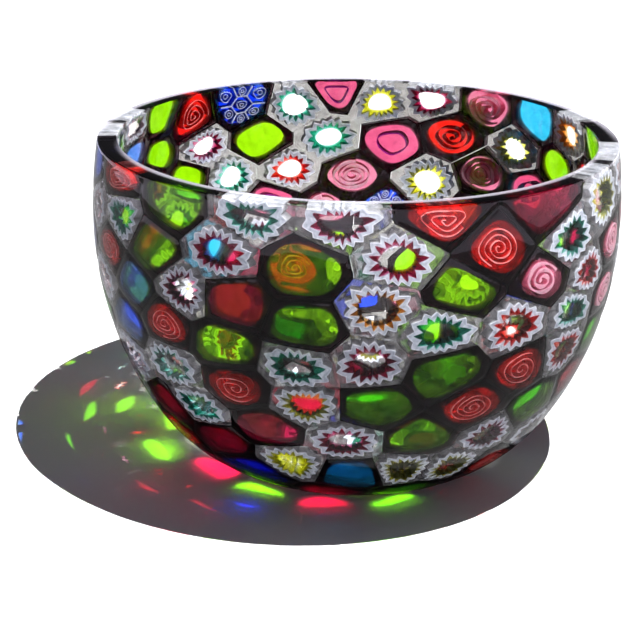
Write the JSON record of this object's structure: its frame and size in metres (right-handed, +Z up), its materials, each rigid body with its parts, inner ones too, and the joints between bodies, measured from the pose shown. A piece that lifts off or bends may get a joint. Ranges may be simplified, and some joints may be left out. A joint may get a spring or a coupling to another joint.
{
  "type": "mosaic glass bowl",
  "caption": "Round mosaic glass bowl with a thick wall fused from slices of patterned cane: plain colours, spirals and stars in dark and clear casings, with a flat cut rim and a flat foot",
  "frame": {"origin": "centre of the flat foot, on the surface that the bowl stands on", "axes": "+Z up along the bowl's axis, -Y towards the pictured front, +X to the right"},
  "size_m": [0.175, 0.175, 0.112],
  "materials": {
    "lime_glass": "transparent yellow-green glass, fire polished",
    "ruby_glass": "transparent ruby glass, fire polished",
    "cobalt_glass": "transparent cobalt blue glass, fire polished",
    "turquoise_glass": "transparent turquoise glass, fire polished",
    "sky_glass": "pale transparent blue glass, fire polished",
    "pink_glass": "translucent rose pink glass, fire polished",
    "red_glass": "transparent red glass, fire polished",
    "teal_glass": "transparent blue-green glass, fire polished",
    "maroon_glass": "transparent dark red glass, fire polished",
    "yellow_glass": "transparent olive yellow glass, fire polished",
    "amber_glass": "transparent amber glass, fire polished",
    "blush_glass": "pale pink glass, fire polished",
    "clear_glass": "clear colourless glass, fire polished, flat and polished at the rim and the foot",
    "smoke_glass": "very dark smoky amethyst glass, nearly black in reflection",
    "white_enamel": "opaque white glass"
  },
  "bodies": {
    "root": {"amber_star_casing": "clear_glass", "amber_star_heart": "clear_glass", "amber_star_outline": "white_enamel", "amber_star_star": "amber_glass", "bullseye_casing": "smoke_glass", "bullseye_core": "pink_glass", "cobalt_casing": "smoke_glass", "cobalt_core": "cobalt_glass", "lime_casing": "smoke_glass", "lime_core": "lime_glass", "maroon_star_casing": "clear_glass", "maroon_star_heart": "clear_glass", "maroon_star_outline": "white_enamel", "maroon_star_star": "maroon_glass", "pale_star_casing": "clear_glass", "pale_star_heart": "clear_glass", "pale_star_outline": "white_enamel", "pale_star_star": "blush_glass", "pink_spiral_casing": "smoke_glass", "pink_spiral_core": "pink_glass", "red_spiral_casing": "smoke_glass", "red_spiral_core": "red_glass", "red_star_casing": "clear_glass", "red_star_heart": "clear_glass", "red_star_outline": "white_enamel", "red_star_star": "red_glass", "ruby_casing": "smoke_glass", "ruby_core": "ruby_glass", "sky_casing": "smoke_glass", "sky_core": "sky_glass", "teal_star_casing": "clear_glass", "teal_star_heart": "clear_glass", "teal_star_outline": "white_enamel", "teal_star_star": "teal_glass", "tortoise_casing": "smoke_glass", "tortoise_core": "cobalt_glass", "turquoise_casing": "smoke_glass", "turquoise_core": "turquoise_glass", "yellow_star_casing": "clear_glass", "yellow_star_heart": "clear_glass", "yellow_star_outline": "white_enamel", "yellow_star_star": "yellow_glass"}
  },
  "joints": []
}
